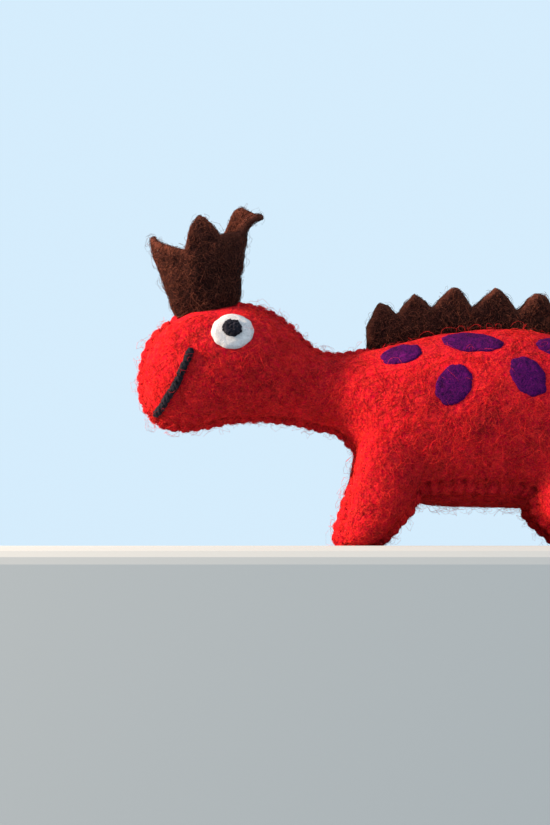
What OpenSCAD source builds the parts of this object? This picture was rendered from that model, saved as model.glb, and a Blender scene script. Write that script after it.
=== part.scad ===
// A dinosaur puppet of thick wool felt, standing on four short legs.
// It faces -X, its left side is at -Y and its feet stand on z = 0.
// Distances along the body are given behind the snout, and at() turns them into x.

/* [Whole puppet] */
// Length from the snout to the tip of the tail
total_length = 236; // [232:1:240]
// Thickness of the felt
felt = 3; // [2.5:0.1:3.2]
// Room between a felt panel and the stuffing behind it
ease = 0.2; // [0.1:0.05:0.3]
// Room between two pieces that move against each other
play = 0.45; // [0.4:0.05:0.6]

/* [Head and neck] */
// Where the head turns on the neck, behind the snout
head_joint = 54; // [52:0.5:55]
// Height of the head's turning point
head_joint_z = 57; // [56:0.5:58]
// Where the neck bends on the torso, behind the snout
neck_joint = 75; // [74:0.5:76]
// Height of the neck's bending point
neck_joint_z = 50.5; // [50:0.5:51.5]
// Radius of the neck
neck_r = 12.2; // [12:0.1:12.5]
// How far the head turns to each side, in degrees
head_turn = 25; // [15:1:26]
// How far the neck bends up or down, in degrees
neck_bend = 15; // [10:1:16]

/* [Legs] */
// Front hips, behind the snout
front_hip = 81; // [80:0.5:82]
// Hind hips, behind the snout
hind_hip = 149; // [148:0.5:150]
// Height of all four hips
hip_z = 18; // [17.5:0.5:18]
// Distance of each hip from the middle plane
hip_y = 13.6; // [13.4:0.1:13.8]
// Radius of the round top of a leg
hip_r = 9.4; // [9:0.1:9.4]
// How far forward of its hip a foot stands
foot_forward = 5; // [3:0.5:6]
// How far a leg swings to the front or the back, in degrees
leg_swing = 10; // [6:1:11]

/* [Tail] */
// Where the tail swings on the torso, behind the snout
tail_joint = 166.5; // [166:0.5:168]
// Height of the tail's swinging point
tail_joint_z = 57; // [57:0.5:58]
// Radius of the round root of the tail
tail_r = 8.6; // [8.4:0.1:8.6]
// How far the tail swings to each side, in degrees
tail_swing = 25; // [15:1:26]

/* [Hand pocket] */
// Height of the pocket's middle line
pocket_z = 38; // [38:0.5:38.5]
// Half the height of the pocket, inside its lining
pocket_r = 9; // [8.5:0.1:9]
// Distance of the pocket's two round sides from the middle plane
pocket_side = 5; // [4:0.5:5]
// Deepest point of the pocket, behind the snout
pocket_front = 98; // [97:1:102]
// Thickness of the cotton lining
lining = 0.8; // [0.6:0.1:0.8]

/* [Crown] */
// Radius of the crown's foot
crown_foot_r = 10; // [9.6:0.1:10.2]
// Radius of the crown at the notches
crown_top_r = 15; // [14.4:0.1:15.4]
// Height from the crown's foot to its notches
crown_notch_h = 18; // [17:0.5:19]
// Height from the crown's foot to its tips
crown_tip_h = 29; // [27:0.5:30]
// How far the crown leans forward, in degrees
crown_lean = 9; // [8:1:10]
// Number of points around the crown
crown_points = 4; // [4:1:5]

/* [Crest] */
// Height of a crest tooth above its notches
tooth_h = 5.5; // [5:0.5:7]
// Height of the crest's solid strip below its notches
strip_h = 8; // [6:0.5:8]
// Thickness of the crest, two layers of felt
crest_t = 5; // [4:0.5:6]
// Spacing of the teeth
tooth_pitch = 13; // [12:0.5:14]

/* [Face] */
// Radius of a felt eye
eye_r = 6.8; // [6:0.1:7]
// Radius of a knotted pupil
pupil_r = 2.9; // [2.5:0.1:3.2]
// Radius of the mouth's thread
mouth_r = 0.95; // [0.8:0.05:1]

/* [Hidden] */

RED = "#d8121a";
BROWN = "#4a2a24";
PURPLE = "#5a1070";
BLACK = "#15151c";
WHITE = "#eeeae6";
WADDING = "#f3efe2";
COTTON = "#c8142a";

SMALL = 0.4;        // the smallest radius that a ring inside a panel shrinks to
SEAM_GAP = 0.8;     // half the angle left open between two panels, in degrees
BELLY_ANGLE = 52;   // half the angle that the belly gusset spans, in degrees
SEAM_H = 2.2;       // how far a stitched seam stands proud
SEAM_W = 3;         // width of a stitched seam
ARC_STEPS = 12;     // steps across one panel
RING_STEPS = 24;    // steps round a stuffed core
CAP_STEPS = 4;      // rings in a round end
CAP_TIP = 8;        // angle at which a round end's last ring stops, in degrees
SIT = 0.15;         // gap under a patch or a thread that lies on the felt
SEAM_SIT = 0.1;     // gap under a stitched seam, the crest or the hem
THREAD_LIFT = 0.75; // gap under the ends of a straight stitch on the round cheek
SOLE_EASE = 0.3;    // gap between a foot's sole and its stuffing

function at(behind) = behind - total_length / 2;

// A skin ends short of a turning point, so that its rim clears the piece that turns in it
RIM_ROOM = 0.4;
head_back = head_joint - (neck_r + play) * sin(head_turn) - RIM_ROOM;
torso_front = neck_joint + (neck_r + play) * sin(neck_bend) + RIM_ROOM;
torso_back = tail_joint - tail_r - play - RIM_ROOM;

// Sections of the body: [behind the snout, middle height, half height, half width]
HEAD_ROWS = [
    [2, 56, 3.5, 2], [3.5, 56.9, 9.3, 6.5], [6.5, 57.4, 13.8, 10], [11, 58.2, 17.3, 13],
    [18, 59.6, 19.4, 15.5], [27, 61.1, 19.4, 16.5], [36, 62, 19, 16.2], [43, 61.3, 18.2, 15.4],
    [head_back, 60, 17.1, 14.8]
];
TORSO_ROWS = [
    [torso_front, 47, 20, 17.2], [86, 43.4, 24.8, 20.6], [96, 42.4, 27, 22.5], [110, 42.9, 28.2, 23.5],
    [124, 42.9, 29, 23.5], [138, 42.4, 28.4, 22.8], [149, 41.8, 26.8, 21.6], [torso_back, 42, 25, 19.8]
];
TAIL_BODY_ROWS = [
    [tail_joint, tail_joint_z, tail_r, tail_r], [176, 55.2, 8.4, 8.2], [188, 52.6, 7.6, 7.2],
    [202, 50.2, 6.4, 6], [216, 48.6, 5.2, 4.8], [227, 48.4, 4, 3.6], [233, 48.6, 2.8, 2.6],
    [total_length, 48.8, 1.2, 1.2]
];

// A smooth curve through rows of numbers
function spline(a, b, c, d, t) =
    0.5 * (2 * b + (c - a) * t + (2 * a - 5 * b + 4 * c - d) * t * t + (3 * b - a - 3 * c + d) * t * t * t);
function between(rows, k, t) =
    spline(rows[max(k - 1, 0)], rows[k], rows[k + 1], rows[min(k + 2, len(rows) - 1)], t);
function smooth(rows, steps) = [
    for (k = [0 : len(rows) - 2]) for (i = [0 : steps - 1]) between(rows, k, i / steps),
    rows[len(rows) - 1]
];

// Rings of a loft: [place along the axis, first and second centre, first and second radius]
function body_rings(rows) = [for (r = rows) [at(r[0]), 0, r[1], r[3], r[2]]];
// Rings of a round end; way is -1 for an end at the low side of the axis
function cap_rings(ring, way) = [
    for (i = [0 : CAP_STEPS - 1])
        let (step = (90 - CAP_TIP) / CAP_STEPS, a = way < 0 ? CAP_TIP + i * step : 90 - (i + 1) * step)
        [ring[0] + way * ring[3] * cos(a), ring[1], ring[2], ring[3] * sin(a), ring[4] * sin(a)]
];
// One point of a ring, moved inwards by inset
function ring_point(ring, angle, inset) = [
    ring[1] + max(ring[3] - inset, SMALL) * cos(angle),
    ring[2] + max(ring[4] - inset, SMALL) * sin(angle),
    ring[0]
];
// A loft along Z becomes one along X: the ring's two directions are then Y and Z
function along_x(p) = [p[2], p[0], p[1]];
function aim(p, lengthwise) = lengthwise ? along_x(p) : p;

// A felt panel: a shell of the rings between two angles
module panel(rings, from, to, lengthwise = true) {
    n = ARC_STEPS;
    m = 2 * (n + 1);
    angles = [for (i = [0 : n]) from + SEAM_GAP + (to - from - 2 * SEAM_GAP) * i / n];
    points = [
        for (ring = rings) each concat(
            [for (a = angles) aim(ring_point(ring, a, 0), lengthwise)],
            [for (i = [n : -1 : 0]) aim(ring_point(ring, angles[i], felt), lengthwise)])
    ];
    last = (len(rings) - 1) * m;
    sides = [
        for (k = [0 : len(rings) - 2]) for (i = [0 : m - 1])
            let (a = k * m + i, b = k * m + (i + 1) % m) each [[a, a + m, b], [b, a + m, b + m]]
    ];
    low_end = [for (i = [0 : n - 1]) each [[i, i + 1, m - 1 - i], [i + 1, m - 2 - i, m - 1 - i]]];
    high_end = [for (f = low_end) [last + f[0], last + f[2], last + f[1]]];
    polyhedron(points, concat(sides, low_end, high_end));
}

// A stuffed core: a closed solid of the rings
module core(rings, inset, lengthwise = true) {
    n = RING_STEPS;
    points = [
        for (ring = rings) for (i = [0 : n - 1]) aim(ring_point(ring, i * 360 / n, inset), lengthwise)
    ];
    last = (len(rings) - 1) * n;
    sides = [
        for (k = [0 : len(rings) - 2]) for (i = [0 : n - 1])
            let (a = k * n + i, b = k * n + (i + 1) % n) each [[a, a + n, b], [b, a + n, b + n]]
    ];
    ends = [[for (i = [0 : n - 1]) i], [for (i = [n - 1 : -1 : 0]) last + i]];
    polyhedron(points, concat(sides, ends));
}

head_rings = body_rings(smooth(HEAD_ROWS, 2));
neck_low = [at(head_joint), 0, head_joint_z, neck_r, neck_r];
neck_high = [at(neck_joint), 0, neck_joint_z, neck_r, neck_r];
neck_rings = concat(
    cap_rings(neck_low, -1),
    [for (i = [0 : 4]) neck_low + (neck_high - neck_low) * i / 4],
    cap_rings(neck_high, 1)
);
torso_rings = body_rings(smooth(TORSO_ROWS, 2));
tail_rows = body_rings(smooth(TAIL_BODY_ROWS, 2));
tail_rings = concat(cap_rings(tail_rows[0], -1), tail_rows);

// The part of a loft behind the snout that its stuffing fills
function inner(rings, first, last) = [for (k = [first : last]) rings[k]];

// Round hollows that the moving pieces turn in
module ball(behind, y, z, r) translate([at(behind), y, z]) sphere(r = r, $fn = 48);
module head_socket() ball(head_joint, 0, head_joint_z, neck_r + play);
module neck_socket() ball(neck_joint, 0, neck_joint_z, neck_r + play);
module hip_sockets() {
    for (hip = [front_hip, hind_hip]) for (side = [-1, 1]) ball(hip, side * hip_y, hip_z, hip_r + play);
}

// The pocket's tunnel, with wall added all round
module pocket_space(wall, front, back) {
    r = pocket_r + wall;
    translate([at(front), 0, pocket_z]) rotate([0, 90, 0]) {
        for (side = [-1, 1])
            translate([0, side * pocket_side, 0]) cylinder(h = back - front, r = r, $fn = 48);
        translate([-r, -pocket_side, 0]) cube([2 * r, 2 * pocket_side, back - front]);
    }
}
module pocket_hole() pocket_space(lining + ease, pocket_front - lining - ease, torso_back + 5);

// Head
module head_left_panel() color(RED) difference() { panel(head_rings, 90, 270); head_socket(); }
module head_right_panel() color(RED) difference() { panel(head_rings, -90, 90); head_socket(); }
module head_stuffing() {
    color(WADDING) difference() {
        core(inner(head_rings, 4, len(head_rings) - 1), felt + ease);
        head_socket();
    }
}

// A seam: a low stitched ridge along the top or the underside of some rings
function ridge(rings, side, rise) = [for (r = rings) [r[0], r[2] + side * (r[4] + rise)]];
module ridge_strip(low, high) {
    n = len(low);
    translate([0, SEAM_W / 2, 0]) rotate([90, 0, 0]) linear_extrude(SEAM_W)
        polygon(concat(low, [for (i = [n - 1 : -1 : 0]) high[i]]));
}
module head_seam() {
    kept = inner(head_rings, 0, len(head_rings) - 4);
    n = len(kept);
    round_nose = function (rise) concat(
        [for (i = [n - 1 : -1 : 0]) ridge(kept, 1, rise)[i]], ridge(kept, -1, rise));
    nose = 8;       // the seam is moved forward where it runs down the front of the snout
    shift = function (path, by) [for (p = path) [p[0] - by * (p[0] < at(nose) ? 1 : 0), p[1]]];
    color(RED) ridge_strip(
        shift(round_nose(SEAM_SIT), SEAM_SIT),
        shift(round_nose(SEAM_H), SEAM_H - 2 * SEAM_SIT));
}

// The crown: a band of felt with triangular points, standing on the top of the head
CROWN_BEHIND = 24;  // middle of the crown, behind the snout
CROWN_Z = 82;       // height of the crown's foot in its middle
module crown() {
    steps = 8;
    n = crown_points * steps;
    wave = function (i) abs(((i % steps) / steps) * 2 - 1);
    height = function (i) crown_notch_h + (crown_tip_h - crown_notch_h) * wave(i);
    rise = [0, 0.35, 0.7, 1];
    ring_at = function (i, v, off)
        let (a = i * 360 / n + 180, h = height(i) * v,
             r = crown_foot_r + (crown_top_r - crown_foot_r) * h / crown_notch_h - off)
        [r * cos(a), r * sin(a), h];
    points = [
        for (i = [0 : n - 1]) each concat(
            [for (v = rise) ring_at(i, v, 0)],
            [for (k = [len(rise) - 1 : -1 : 0]) ring_at(i, rise[k], felt)])
    ];
    m = 2 * len(rise);
    faces = [
        for (i = [0 : n - 1]) for (k = [0 : m - 1])
            let (a = i * m + k, b = i * m + (k + 1) % m,
                 c = ((i + 1) % n) * m + k, d = ((i + 1) % n) * m + (k + 1) % m)
            each [[a, b, c], [b, d, c]]
    ];
    color(BROWN) translate([at(CROWN_BEHIND), 0, CROWN_Z]) rotate([0, -crown_lean, 0])
        polyhedron(points, faces);
}

// A point on a body's skin and the direction that the skin faces there.
// rows are body sections, k counts them and turn is the angle round the section
function section(rows, k) = between(rows, floor(k), k - floor(k));
function skin_point(rows, k, turn) =
    let (r = section(rows, k)) [at(r[0]), r[3] * cos(turn), r[1] + r[2] * sin(turn)];
function skin_normal(rows, k, turn) =
    let (p = skin_point(rows, k, turn),
         n = cross(skin_point(rows, k, turn + 1) - p, skin_point(rows, k + 0.02, turn) - p))
    n / norm(n);
module on_skin(rows, k, turn, lift) {
    n = skin_normal(rows, k, turn);
    translate(skin_point(rows, k, turn) + n * lift)
        rotate([0, acos(n[2]), atan2(n[1], n[0])]) children();
}
// The angle on the left side that matches one on the right
function on_side(side, turn) = side > 0 ? turn : 180 - turn;

EYE_K = 5.55;       // place of the eye among the head's sections
EYE_TURN = 30;      // angle of the eye round the section
EYE_T = 1.6;        // thickness of a felt eye
PUPIL_T = 1.4;      // thickness of a knotted pupil
module eye(side) {
    color(WHITE) on_skin(HEAD_ROWS, EYE_K, on_side(side, EYE_TURN), SIT)
        cylinder(h = EYE_T, r = eye_r, $fn = 48);
}
module pupil(side) {
    color(BLACK) on_skin(HEAD_ROWS, EYE_K, on_side(side, EYE_TURN), SIT + EYE_T + SEAM_SIT)
        cylinder(h = PUPIL_T, r1 = pupil_r, r2 = pupil_r * 0.75, $fn = 32);
}
module left_eye() eye(-1);
module right_eye() eye(1);
module left_pupil() pupil(-1);
module right_pupil() pupil(1);

// The mouth: long stitches from the cheek down to the seam under the snout
// MOUTH gives [section, angle] of each stitch's end
MOUTH = [[4.03, 21.5], [3.71, 3], [3.24, -18], [2.4, -48], [1.95, -70]];
module mouth_thread(side) {
    color(BLACK) for (i = [0 : len(MOUTH) - 2]) {
        lift = mouth_r + THREAD_LIFT;
        end_of = function (j)
            let (k = MOUTH[j][0], turn = on_side(side, MOUTH[j][1]))
            skin_point(HEAD_ROWS, k, turn) + lift * skin_normal(HEAD_ROWS, k, turn);
        a = end_of(i);
        b = end_of(i + 1);
        d = b - a;
        translate(a) rotate([0, acos(d[2] / norm(d)), atan2(d[1], d[0])])
            cylinder(h = norm(d) - play, r = mouth_r, $fn = 24);
    }
}
module left_mouth_thread() mouth_thread(-1);
module right_mouth_thread() mouth_thread(1);

// Neck
module neck_left_panel() color(RED) panel(neck_rings, 90, 270);
module neck_right_panel() color(RED) panel(neck_rings, -90, 90);
module neck_stuffing() color(WADDING) core(inner(neck_rings, 2, len(neck_rings) - 3), felt + ease);
module neck_seams() {
    kept = inner(neck_rings, CAP_STEPS + 1, CAP_STEPS + 3);
    color(RED) for (side = [-1, 1])
        ridge_strip(ridge(kept, side, SEAM_SIT), ridge(kept, side, SEAM_H));
}

// Torso
module torso_skin(from, to) color(RED) difference() { panel(torso_rings, from, to); hip_sockets(); }
module torso_left_panel() torso_skin(90, 270 - BELLY_ANGLE);
module torso_right_panel() torso_skin(BELLY_ANGLE - 90, 90);
module belly_gusset() torso_skin(-90 - BELLY_ANGLE, BELLY_ANGLE - 90);
module torso_stuffing() {
    color(WADDING) difference() {
        core(torso_rings, felt + ease);
        neck_socket();
        hip_sockets();
        pocket_hole();
    }
}
module belly_seams() {
    first = 5;      // the half section after the front legs
    last = 10;      // the half section before the hind legs
    r = 1;          // radius of the seam
    color(RED) for (side = [-1, 1]) for (k = [first : last - 1]) {
        turn = on_side(side, BELLY_ANGLE - 90);
        point = function (j)
            skin_point(TORSO_ROWS, j / 2, turn) + (r + SEAM_SIT) * skin_normal(TORSO_ROWS, j / 2, turn);
        d = point(k + 1) - point(k);
        translate(point(k)) rotate([0, acos(d[2] / norm(d)), atan2(d[1], d[0])])
            cylinder(h = norm(d) - SIT, r = r, $fn = 24);
    }
}

// The cotton lining of the hand pocket, closed at its front, and the stitched hem round its mouth
module hand_pocket() {
    color(COTTON) difference() {
        pocket_space(lining, pocket_front - lining, torso_back);
        pocket_space(0, pocket_front, torso_back + 1);
    }
}
HEM_T = 2.4;        // thickness of the hem
module pocket_hem() {
    color(RED) difference() {
        pocket_space(HEM_T, torso_back + SEAM_SIT, torso_back + SEAM_SIT + HEM_T);
        pocket_space(0, torso_back - 1, torso_back + 5);
        ball(tail_joint, 0, tail_joint_z, tail_r + play);
    }
}

// The crest: a zigzag strip of doubled felt that stands on the back seam.
// base gives [x, z] along the back, and the teeth shrink from full to small
module crest(base, teeth, first_scale, last_scale) {
    from = base[0][0];
    to = base[len(base) - 1][0];
    height_at = function (x) lookup(x, base);
    size = function (t) first_scale + (last_scale - first_scale) * t;
    outline = [
        for (i = [0 : 2 * teeth])
            let (t = i / (2 * teeth), x = from + (to - from) * t)
            [x, height_at(x) + size(t) * (strip_h + (i % 2 == 1 ? tooth_h : 0))]
    ];
    translate([0, crest_t / 2, 0]) rotate([90, 0, 0]) linear_extrude(crest_t)
        polygon(concat(outline, [for (i = [len(base) - 1 : -1 : 0]) base[i]]));
}
module back_crest() {
    base = ridge(inner(torso_rings, 0, len(torso_rings) - 2), 1, SEAM_SIT);
    teeth = round((base[len(base) - 1][0] - base[0][0]) / tooth_pitch);
    color(BROWN) crest(base, teeth, 1, 0.85);
}
module tail_crest() {
    kept = inner(tail_rings, CAP_STEPS + 3, len(tail_rings) - 4);
    color(BROWN) crest(ridge(kept, 1, SEAM_SIT), 5, 0.75, 0.3);
}

// Spots: round and oval patches of felt, [section of the torso, angle, radius]
SPOTS = [[1.2, 50, 5.2], [3.04, 56, 7.2], [2.6, 21, 6.4], [4.36, 26, 6.6], [4.8, 59, 5.4], [6.2, 38, 6]];
SPOT_T = 1.6;       // thickness of a felt spot
module spot(side, i) {
    color(PURPLE) on_skin(TORSO_ROWS, SPOTS[i][0], on_side(side, SPOTS[i][1]), SIT)
        cylinder(h = SPOT_T, r = SPOTS[i][2], $fn = 40);
}

// Tail
module tail_left_panel() color(RED) panel(tail_rings, 90, 270);
module tail_right_panel() color(RED) panel(tail_rings, -90, 90);
module tail_stuffing() color(WADDING) core(inner(tail_rings, 2, len(tail_rings) - 6), felt + ease);
module tail_seam() {
    kept = inner(tail_rings, CAP_STEPS + 3, len(tail_rings) - 2);
    color(RED) ridge_strip(ridge(kept, -1, SEAM_SIT), ridge(kept, -1, SEAM_H * 0.8));
}

// Legs: [height, middle's distance ahead of the hip as a share of foot_forward, half length, half width]
LEG_ROWS = [
    [0, 1, 8.2, 7.4], [0.7, 1, 9.2, 8.4], [2.2, 1, 9.9, 9], [6, 0.7, 10, 9.3],
    [9.5, 0.3, 9.4, 9], [13.5, 0, 8.2, 8.2]
];
function leg_rings(hip, side) = concat(
    [for (r = LEG_ROWS) [r[0], at(hip - foot_forward * r[1]), side * hip_y, r[2], r[3]]],
    [[hip_z, at(hip), side * hip_y, hip_r, hip_r]],
    cap_rings([hip_z, at(hip), side * hip_y, hip_r, hip_r], 1)
);
// facing is the angle of the panel's middle: 90 on the right side and -90 on the left
module leg_panel(hip, side, facing) color(RED) panel(leg_rings(hip, side), facing - 90, facing + 90, false);
module leg_stuffing(hip, side) {
    rings = leg_rings(hip, side);
    below = rings[2];
    above = rings[3];
    sole = below + (above - below) * (felt + SOLE_EASE - below[0]) / (above[0] - below[0]);
    color(WADDING) core(concat([sole], inner(rings, 3, len(rings) - 3)), felt + ease, false);
}

module front_left_leg_outer_panel() leg_panel(front_hip, -1, -90);
module front_left_leg_inner_panel() leg_panel(front_hip, -1, 90);
module front_left_leg_stuffing() leg_stuffing(front_hip, -1);
module front_right_leg_outer_panel() leg_panel(front_hip, 1, 90);
module front_right_leg_inner_panel() leg_panel(front_hip, 1, -90);
module front_right_leg_stuffing() leg_stuffing(front_hip, 1);
module hind_left_leg_outer_panel() leg_panel(hind_hip, -1, -90);
module hind_left_leg_inner_panel() leg_panel(hind_hip, -1, 90);
module hind_left_leg_stuffing() leg_stuffing(hind_hip, -1);
module hind_right_leg_outer_panel() leg_panel(hind_hip, 1, 90);
module hind_right_leg_inner_panel() leg_panel(hind_hip, 1, -90);
module hind_right_leg_stuffing() leg_stuffing(hind_hip, 1);
module left_spot_1() spot(-1, 0);
module left_spot_2() spot(-1, 1);
module left_spot_3() spot(-1, 2);
module left_spot_4() spot(-1, 3);
module left_spot_5() spot(-1, 4);
module left_spot_6() spot(-1, 5);
module right_spot_1() spot(1, 0);
module right_spot_2() spot(1, 1);
module right_spot_3() spot(1, 2);
module right_spot_4() spot(1, 3);
module right_spot_5() spot(1, 4);
module right_spot_6() spot(1, 5);

head_left_panel();
head_right_panel();
head_stuffing();
head_seam();
crown();
left_eye();
right_eye();
left_pupil();
right_pupil();
left_mouth_thread();
right_mouth_thread();
neck_left_panel();
neck_right_panel();
neck_stuffing();
neck_seams();
torso_left_panel();
torso_right_panel();
belly_gusset();
torso_stuffing();
belly_seams();
hand_pocket();
pocket_hem();
back_crest();
left_spot_1();
left_spot_2();
left_spot_3();
left_spot_4();
left_spot_5();
left_spot_6();
right_spot_1();
right_spot_2();
right_spot_3();
right_spot_4();
right_spot_5();
right_spot_6();
tail_left_panel();
tail_right_panel();
tail_stuffing();
tail_crest();
tail_seam();
front_left_leg_outer_panel();
front_left_leg_inner_panel();
front_left_leg_stuffing();
front_right_leg_outer_panel();
front_right_leg_inner_panel();
front_right_leg_stuffing();
hind_left_leg_outer_panel();
hind_left_leg_inner_panel();
hind_left_leg_stuffing();
hind_right_leg_outer_panel();
hind_right_leg_inner_panel();
hind_right_leg_stuffing();
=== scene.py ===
"""A felt dinosaur hand puppet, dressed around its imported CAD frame. It faces -X and stands on z = 0."""
import math

import bpy
import numpy as np
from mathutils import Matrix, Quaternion, Vector, noise
from mathutils.bvhtree import BVHTree
from mathutils.kdtree import KDTree


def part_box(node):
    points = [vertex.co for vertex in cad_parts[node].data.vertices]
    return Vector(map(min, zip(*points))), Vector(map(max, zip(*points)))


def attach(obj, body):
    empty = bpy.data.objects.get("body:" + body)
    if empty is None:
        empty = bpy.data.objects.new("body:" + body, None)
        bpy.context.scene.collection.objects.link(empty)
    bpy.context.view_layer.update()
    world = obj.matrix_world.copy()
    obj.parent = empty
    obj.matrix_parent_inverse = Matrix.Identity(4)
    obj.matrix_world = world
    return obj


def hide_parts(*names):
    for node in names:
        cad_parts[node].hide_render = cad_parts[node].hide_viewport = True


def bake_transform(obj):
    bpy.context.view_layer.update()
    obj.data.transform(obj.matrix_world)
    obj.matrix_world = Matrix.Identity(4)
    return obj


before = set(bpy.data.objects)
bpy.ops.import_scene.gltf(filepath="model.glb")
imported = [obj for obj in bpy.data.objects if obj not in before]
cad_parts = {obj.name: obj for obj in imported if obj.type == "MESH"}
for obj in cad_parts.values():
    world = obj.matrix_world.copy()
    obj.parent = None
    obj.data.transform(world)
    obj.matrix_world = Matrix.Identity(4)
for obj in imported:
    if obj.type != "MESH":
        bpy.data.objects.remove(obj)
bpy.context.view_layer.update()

MM = 0.001
LENGTH = 236 * MM          # snout to tail tip
SEED = 11
random = np.random.default_rng(SEED)


def at(behind):
    """x of a place that is so many millimetres behind the snout."""
    return behind * MM - LENGTH / 2


def spot_at(behind, y, z):
    """A point, from millimetres behind the snout, across and up."""
    return (at(behind), y * MM, z * MM)


# ---------------- curves and meshes

def full_turn(count):
    """Angles spread evenly over a full turn."""
    return np.linspace(0, 2 * math.pi, count, endpoint=False)


def smooth_rows(rows, steps):
    """A Catmull-Rom curve through rows of numbers."""
    rows = np.array(rows, float)
    padded = np.vstack([rows[0], rows, rows[-1]])
    t = (np.arange(steps) / steps)[:, None]
    out = []
    for k in range(len(rows) - 1):
        a, b, c, d = padded[k:k + 4]
        out.append(0.5 * (2 * b + (c - a) * t + (2 * a - 5 * b + 4 * c - d) * t ** 2
                          + (3 * b - a - 3 * c + d) * t ** 3))
    return np.vstack(out + [rows[-1:]])


def distances(points):
    """How far along a line of points each one lies."""
    return np.concatenate([[0], np.cumsum(np.linalg.norm(np.diff(points, axis=0), axis=1))])


def even_path(points, step):
    """Points spaced evenly along a smooth curve through the given points."""
    dense = smooth_rows(points, 24)
    length = distances(dense)
    count = max(2, int(round(length[-1] / step)) + 1)
    wanted = np.linspace(0, length[-1], count)
    return np.stack([np.interp(wanted, length, dense[:, k]) for k in range(3)], axis=1)


def new_object(name, vertices, faces, material, smooth=True):
    mesh = bpy.data.meshes.new(name)
    mesh.from_pydata([tuple(v) for v in vertices], [], [tuple(f) for f in faces])
    mesh.validate()
    mesh.update()
    if smooth:
        mesh.shade_smooth()
    piece = bpy.data.objects.new(name, mesh)
    bpy.context.scene.collection.objects.link(piece)
    if material:
        mesh.materials.append(material)
    return piece


def mark(piece, name, values):
    """Stores one number for each vertex, which the felt's material reads."""
    stored = piece.data.attributes.new(name, "FLOAT", "POINT")
    stored.data.foreach_set("value", np.asarray(values, np.float32))


def tree_of(points):
    """A search tree for the nearest of some points."""
    tree = KDTree(len(points))
    for i, p in enumerate(points):
        tree.insert(p, i)
    tree.balance()
    return tree


def search_tree(points, faces):
    """A search tree for rays and nearest places on a surface."""
    return BVHTree.FromPolygons([tuple(p) for p in points], faces)


def unit(vectors):
    """Vectors scaled to length 1, along the last axis."""
    return vectors / np.maximum(np.linalg.norm(vectors, axis=-1, keepdims=True), 1e-15)


def points_of(mesh):
    points = np.empty(len(mesh.vertices) * 3)
    mesh.vertices.foreach_get("co", points)
    return points.reshape(-1, 3)


def corners_of(faces):
    """Faces as rows of four corners; a triangle repeats its last."""
    return np.array([f if len(f) == 4 else [*f, f[-1]] for f in faces])


def evaluated(piece):
    return piece.evaluated_get(bpy.context.evaluated_depsgraph_get())


def remeshed(piece, voxel):
    """A new mesh of the piece's shape, made of even voxels."""
    remesh = piece.modifiers.new("remesh", "REMESH")
    remesh.mode = "VOXEL"
    remesh.voxel_size = voxel
    return bpy.data.meshes.new_from_object(evaluated(piece))


def grid_faces(rows, columns, first=0):
    """Quads between rows of points, with the last column joined to the first."""
    i, j = (k.ravel() for k in np.meshgrid(np.arange(rows - 1), np.arange(columns), indexing="ij"))
    k = (j + 1) % columns
    corners = [i * columns + j, (i + 1) * columns + j, (i + 1) * columns + k, i * columns + k]
    return np.stack(corners, 1) + first


def loft(rings):
    """Vertices and faces of a closed loft through rings of points."""
    rows, columns, _ = rings.shape
    faces = [list(f) for f in grid_faces(rows, columns)]
    last = (rows - 1) * columns
    faces += [list(range(columns)), [last + j for j in range(columns - 1, -1, -1)]]
    return rings.reshape(-1, 3), faces


def join(parts):
    """One list of vertices and one of faces out of several."""
    vertices, faces, first = [], [], 0
    for v, f in parts:
        vertices.append(np.asarray(v, float))
        faces += [[i + first for i in face] for face in f]
        first += len(v)
    return np.vstack(vertices), faces


def tubes(paths, radii, sides=6):
    """Closed tubes along paths of equal length: paths is (n, k, 3), radii (n, k)."""
    paths, radii = np.asarray(paths, float), np.asarray(radii, float)
    n, k, _ = paths.shape
    along = unit(np.gradient(paths, axis=1))
    helper = np.where(np.abs(along[:, :1, 2:3]) > 0.8, [[[1.0, 0, 0]]], [[[0, 0, 1.0]]])
    across = unit(np.cross(along, np.broadcast_to(helper, along.shape)))
    other = np.cross(along, across)
    turn = np.arange(sides) * 2 * math.pi / sides
    cosine, sine = np.cos(turn)[None, None, :, None], np.sin(turn)[None, None, :, None]
    ring = across[:, :, None] * cosine + other[:, :, None] * sine
    vertices = (paths[:, :, None] + ring * radii[:, :, None, None]).reshape(-1, 3)
    body = grid_faces(k, sides)
    offsets = np.arange(n) * k * sides
    quads = (body[None] + offsets[:, None, None]).reshape(-1, 4)
    faces = [list(q) for q in quads]
    for first in offsets:
        faces.append([int(first) + j for j in range(sides)])
        faces.append([int(first) + (k - 1) * sides + j for j in range(sides - 1, -1, -1)])
    return vertices, faces


def rumple(points, scale, size, seed=0.0):
    """Smooth random offsets, one number a point: noise at so many waves a metre, of the given size."""
    shift = Vector((seed, seed * 1.7, seed * 0.6))
    return np.array([noise.noise(Vector(p) * scale + shift) for p in points]) * size


# ---------------- materials

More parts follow.
